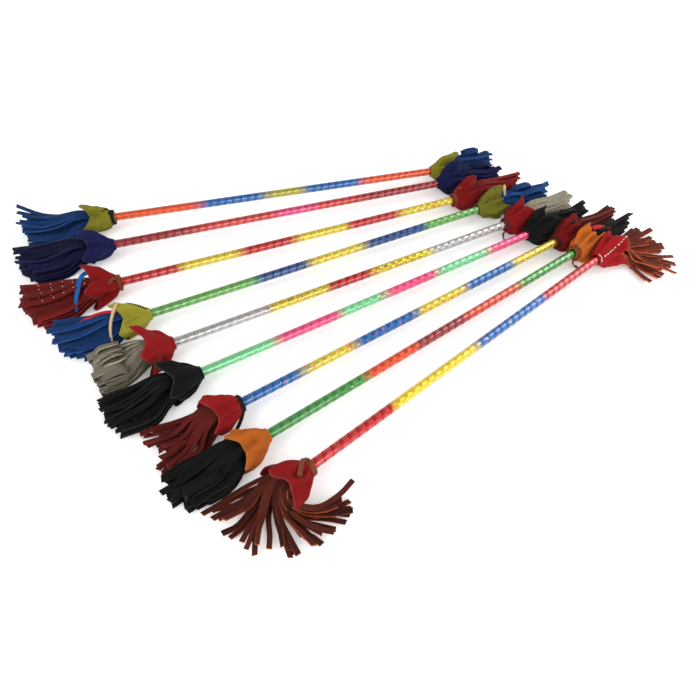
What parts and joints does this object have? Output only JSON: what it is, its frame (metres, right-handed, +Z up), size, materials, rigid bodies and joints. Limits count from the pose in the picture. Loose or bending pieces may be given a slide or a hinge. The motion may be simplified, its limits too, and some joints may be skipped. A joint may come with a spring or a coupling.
{
  "type": "juggling flower stick set",
  "caption": "Juggling flower sticks laid side by side in a fan, each a banded rod in a clear sleeve with a flared suede cap and a suede fringe tied on at both ends.",
  "frame": {"origin": "on the surface the set lies on, under the middle of the set's box", "axes": "+X along the middle stick, towards the end where the fan closes up; +Y across the sticks, towards the far one in the usual view; +Z up from the surface"},
  "size_m": [0.7656, 0.5872, 0.041],
  "materials": {
    "core_rod": "satin",
    "sleeve_1": "clear gloss over a printed film in bands of colour",
    "cap_lime": "matt suede",
    "fringe_blue": "matt suede",
    "tie_cord": "waxed",
    "end_plug": "matt",
    "sleeve_2": "clear gloss over a printed film in bands of colour",
    "cap_navy": "matt suede",
    "fringe_navy": "matt suede",
    "sleeve_3": "clear gloss over a printed film in bands of colour",
    "cap_red": "matt suede",
    "fringe_dark_red": "matt suede",
    "sleeve_4": "clear gloss over a printed film in bands of colour",
    "sleeve_5": "clear gloss over a printed film in bands of colour",
    "fringe_grey": "matt suede",
    "sleeve_6": "clear gloss over a printed film in bands of colour",
    "cap_black": "matt suede",
    "fringe_black": "matt suede",
    "sleeve_7": "clear gloss over a printed film in bands of colour",
    "fringe_maroon": "matt suede",
    "sleeve_8": "clear gloss over a printed film in bands of colour",
    "cap_orange": "matt suede",
    "sleeve_9": "clear gloss over a printed film in bands of colour",
    "fringe_rust": "matt suede"
  },
  "bodies": {
    "stick_1": {"stick_1_rod": "core_rod", "stick_1_sleeve": "sleeve_1", "stick_1_caps": "cap_lime", "stick_1_fringes": "fringe_blue", "stick_1_ties": "tie_cord", "stick_1_plugs": "end_plug"},
    "stick_2": {"stick_2_rod": "core_rod", "stick_2_sleeve": "sleeve_2", "stick_2_caps": "cap_navy", "stick_2_fringes": "fringe_navy", "stick_2_ties": "tie_cord", "stick_2_plugs": "end_plug"},
    "stick_3": {"stick_3_rod": "core_rod", "stick_3_sleeve": "sleeve_3", "stick_3_caps": "cap_red", "stick_3_fringes": "fringe_dark_red", "stick_3_ties": "tie_cord", "stick_3_plugs": "end_plug"},
    "stick_4": {"stick_4_rod": "core_rod", "stick_4_sleeve": "sleeve_4", "stick_4_caps": "cap_lime", "stick_4_fringes": "fringe_blue", "stick_4_ties": "tie_cord", "stick_4_plugs": "end_plug"},
    "stick_5": {"stick_5_rod": "core_rod", "stick_5_sleeve": "sleeve_5", "stick_5_caps": "cap_red", "stick_5_fringes": "fringe_grey", "stick_5_ties": "tie_cord", "stick_5_plugs": "end_plug"},
    "stick_6": {"stick_6_rod": "core_rod", "stick_6_sleeve": "sleeve_6", "stick_6_caps": "cap_black", "stick_6_fringes": "fringe_black", "stick_6_ties": "tie_cord", "stick_6_plugs": "end_plug"},
    "stick_7": {"stick_7_rod": "core_rod", "stick_7_sleeve": "sleeve_7", "stick_7_caps": "cap_red", "stick_7_fringes": "fringe_maroon", "stick_7_ties": "tie_cord", "stick_7_plugs": "end_plug"},
    "stick_8": {"stick_8_rod": "core_rod", "stick_8_sleeve": "sleeve_8", "stick_8_caps": "cap_orange", "stick_8_fringes": "fringe_black", "stick_8_ties": "tie_cord", "stick_8_plugs": "end_plug"},
    "stick_9": {"stick_9_rod": "core_rod", "stick_9_sleeve": "sleeve_9", "stick_9_caps": "cap_red", "stick_9_fringes": "fringe_rust", "stick_9_ties": "tie_cord", "stick_9_plugs": "end_plug"}
  },
  "joints": [
    {"name": "stick_1_lift", "type": "slide", "parent": "stick_5", "child": "stick_1", "axis": [0, 0, 1], "range_m": [0, 0.25]},
    {"name": "stick_2_lift", "type": "slide", "parent": "stick_5", "child": "stick_2", "axis": [0, 0, 1], "range_m": [0, 0.25]},
    {"name": "stick_3_lift", "type": "slide", "parent": "stick_5", "child": "stick_3", "axis": [0, 0, 1], "range_m": [0, 0.25]},
    {"name": "stick_4_lift", "type": "slide", "parent": "stick_5", "child": "stick_4", "axis": [0, 0, 1], "range_m": [0, 0.25]},
    {"name": "stick_6_lift", "type": "slide", "parent": "stick_5", "child": "stick_6", "axis": [0, 0, 1], "range_m": [0, 0.25]},
    {"name": "stick_7_lift", "type": "slide", "parent": "stick_5", "child": "stick_7", "axis": [0, 0, 1], "range_m": [0, 0.25]},
    {"name": "stick_8_lift", "type": "slide", "parent": "stick_5", "child": "stick_8", "axis": [0, 0, 1], "range_m": [0, 0.25]},
    {"name": "stick_9_lift", "type": "slide", "parent": "stick_5", "child": "stick_9", "axis": [0, 0, 1], "range_m": [0, 0.25]}
  ]
}
